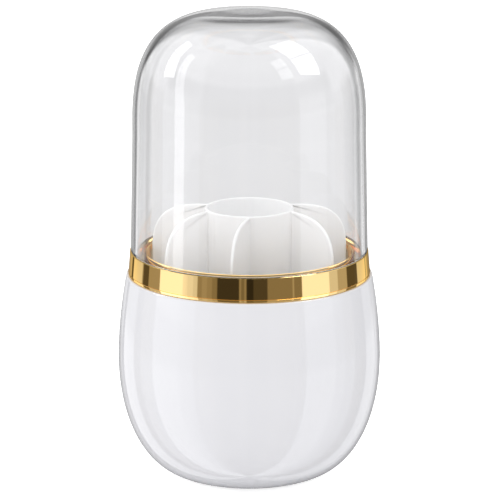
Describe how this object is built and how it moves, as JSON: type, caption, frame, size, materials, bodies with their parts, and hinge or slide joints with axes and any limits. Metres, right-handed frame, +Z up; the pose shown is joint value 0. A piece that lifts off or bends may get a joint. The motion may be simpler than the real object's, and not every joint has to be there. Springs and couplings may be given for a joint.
{
  "type": "makeup organizer",
  "caption": "Round white make-up brush holder on a turntable foot, with a gold ring, a finned divider and a clear lift-off dome cover.",
  "frame": {"origin": "centre of the footprint, on the underside of the silicone grip ring", "axes": "+Z up along the axis of the pot and dome; -Y towards the front, where the turned fin is"},
  "size_m": [0.13, 0.13, 0.232],
  "materials": {
    "clear_acrylic": "clear, polished",
    "gold_plate": "gold plated, mirror polish",
    "white_gloss": "white, high gloss",
    "white_satin": "white, satin",
    "zinc_steel": "bright zinc",
    "ball_steel": "polished steel",
    "silicone": "translucent silicone, matte"
  },
  "bodies": {
    "foot": {"foot_plate": "white_satin", "grip_ring": "silicone"},
    "ball_row": {"ball_cage": "white_satin", "bearing_balls": "ball_steel"},
    "pot": {"pot_shell": "white_gloss", "trim_ring": "gold_plate", "seat_ring": "gold_plate", "divider": "white_satin", "upper_race": "white_satin", "race_screws": "zinc_steel", "pivot_screw": "zinc_steel", "thrust_washer": "zinc_steel"},
    "cover": {"dome_cover": "clear_acrylic"}
  },
  "joints": [
    {"name": "pot_spin", "type": "hinge", "parent": "foot", "child": "pot", "pos_m": [0, 0, 0.0052], "axis": [0, 0, 1], "continuous": true},
    {"name": "ball_row_spin", "type": "hinge", "parent": "foot", "child": "ball_row", "pos_m": [0, 0, 0.0052], "axis": [0, 0, 1], "continuous": true},
    {"name": "cover_lift", "type": "slide", "parent": "pot", "child": "cover", "axis": [0, 0, 1], "range_m": [0, 0.15]}
  ],
  "couplings": [
    {"joint": "ball_row_spin", "follows": "pot_spin", "ratio": 0.5}
  ]
}
